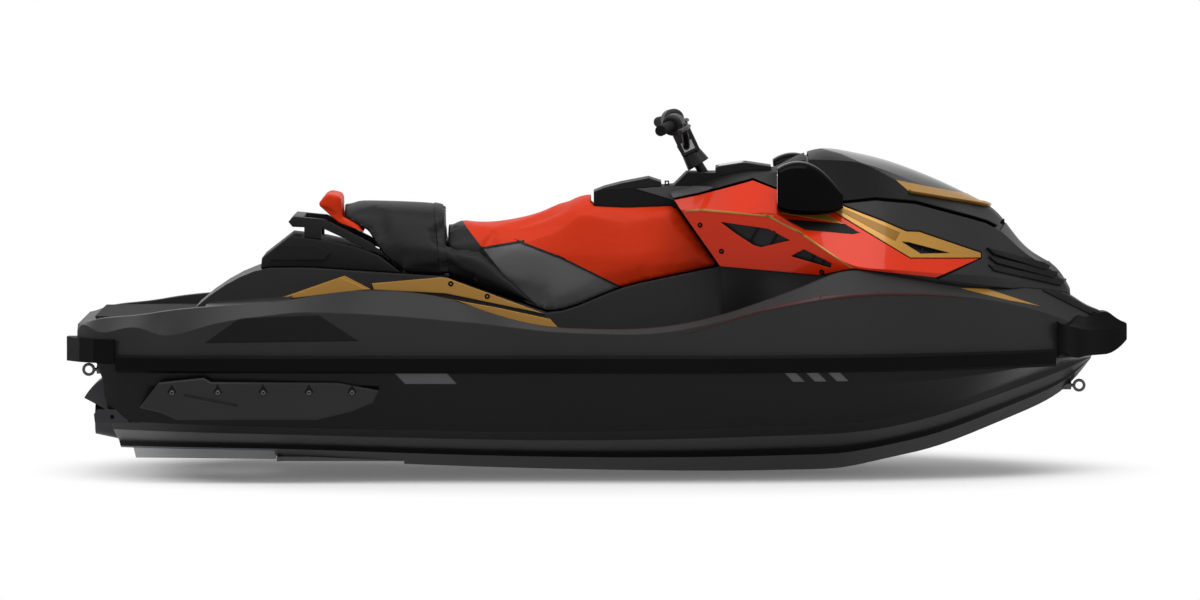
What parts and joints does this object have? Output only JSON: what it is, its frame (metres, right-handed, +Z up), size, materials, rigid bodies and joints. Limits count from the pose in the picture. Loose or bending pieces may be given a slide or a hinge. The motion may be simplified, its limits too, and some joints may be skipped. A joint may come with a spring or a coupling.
{
  "type": "personal watercraft",
  "caption": "Stand-alone sit-down jet-drive personal watercraft with a stepped seat, handlebar, front hood and rear boarding platform.",
  "frame": {"origin": "on the centre plane amidships, at the waterline", "axes": "+X to the bow, +Y to port, +Z up"},
  "size_m": [3.3112, 1.2286, 1.1323],
  "materials": {
    "hull_black": "black gel coat",
    "deck_black": "black gel coat",
    "red_metallic": "orange red metallic",
    "gold_metallic": "gold metallic",
    "moulding_black": "fine grain",
    "gloss_black": "high gloss",
    "seat_vinyl": "matt vinyl",
    "mat_foam": "ribbed foam",
    "bumper_black": "satin",
    "engine_grey": "painted casting",
    "pump_aluminium": "cast, painted",
    "stainless": "brushed",
    "plate_grey": "anodised grey"
  },
  "bodies": {
    "craft": {"hull": "hull_black", "deck": "deck_black", "console": "moulding_black", "side_panel_left": "red_metallic", "side_panel_right": "red_metallic", "bow_trim_left": "gold_metallic", "bow_trim_right": "gold_metallic", "bow_fairing_left": "moulding_black", "bow_fairing_right": "moulding_black", "bow_bumper": "bumper_black", "bumper_rail_left": "bumper_black", "bumper_rail_right": "bumper_black", "stern_bumper_left": "bumper_black", "stern_bumper_right": "bumper_black", "sponson_left": "moulding_black", "sponson_right": "moulding_black", "footwell_mat_left": "mat_foam", "footwell_mat_right": "mat_foam", "platform_mat": "mat_foam", "engine": "engine_grey", "storage_bin": "moulding_black", "gauge_cluster": "moulding_black", "mirror_left": "gloss_black", "mirror_right": "gloss_black", "pump_housing": "pump_aluminium", "venturi": "pump_aluminium", "ride_plate": "plate_grey", "intake_grate": "moulding_black", "bow_eye": "stainless", "stern_eye_left": "stainless", "stern_eye_right": "stainless", "tow_eye": "stainless", "stern_plate_left": "moulding_black", "stern_plate_right": "moulding_black", "pedestal_trim_left": "gold_metallic", "pedestal_trim_right": "gold_metallic", "seat_support": "moulding_black", "grab_handle": "moulding_black"},
    "hood": {"hood": "gloss_black", "hood_deflector": "gloss_black"},
    "glovebox_lid": {"glovebox_lid": "moulding_black"},
    "driver_seat": {"driver_seat": "seat_vinyl"},
    "passenger_seat": {"passenger_seat": "seat_vinyl", "seat_tail": "red_metallic"},
    "steering": {"steering_neck": "moulding_black", "handlebar": "pump_aluminium", "grip_left": "bumper_black", "grip_right": "bumper_black", "switch_pod_left": "moulding_black", "switch_pod_right": "moulding_black"},
    "trim": {"trim_ring": "pump_aluminium"},
    "nozzle": {"steering_nozzle": "pump_aluminium"},
    "gate": {"reverse_gate": "pump_aluminium"},
    "impeller": {"impeller": "stainless", "drive_shaft": "stainless"}
  },
  "joints": [
    {"name": "steering", "type": "hinge", "parent": "craft", "child": "steering", "pos_m": [0.31776, 0, 0.6824], "axis": [-0.5299, 0, 0.848], "range_deg": [-25, 25]},
    {"name": "trim_tilt", "type": "hinge", "parent": "craft", "child": "trim", "pos_m": [-1.48188, 0, -0.103], "axis": [0, 1, 0], "range_deg": [-6, 6]},
    {"name": "nozzle_swing", "type": "hinge", "parent": "trim", "child": "nozzle", "pos_m": [-1.48188, 0, -0.103], "axis": [0, 0, 1], "range_deg": [-22, 22]},
    {"name": "gate_drop", "type": "hinge", "parent": "craft", "child": "gate", "pos_m": [-1.48188, 0, -0.103], "axis": [0, -1, 0], "range_deg": [0, 85]},
    {"name": "impeller_spin", "type": "hinge", "parent": "craft", "child": "impeller", "pos_m": [-1.19888, 0, -0.103], "axis": [1, 0, 0], "continuous": true},
    {"name": "hood_hinge", "type": "hinge", "parent": "craft", "child": "hood", "pos_m": [1.26111, 0, 0.51573], "axis": [0, 1, 0], "range_deg": [0, 55]},
    {"name": "glovebox_hinge", "type": "hinge", "parent": "craft", "child": "glovebox_lid", "pos_m": [0.21019, 0, 0.63772], "axis": [0, 1, 0], "range_deg": [0, 75]},
    {"name": "driver_seat_lift", "type": "slide", "parent": "craft", "child": "driver_seat", "axis": [-0.5759, 0, 0.8175], "range_m": [0, 0.35]},
    {"name": "passenger_seat_lift", "type": "slide", "parent": "driver_seat", "child": "passenger_seat", "axis": [0, 0, 1], "range_m": [0, 0.3]}
  ],
  "couplings": [
    {"joint": "nozzle_swing", "follows": "steering", "ratio": -0.88}
  ]
}
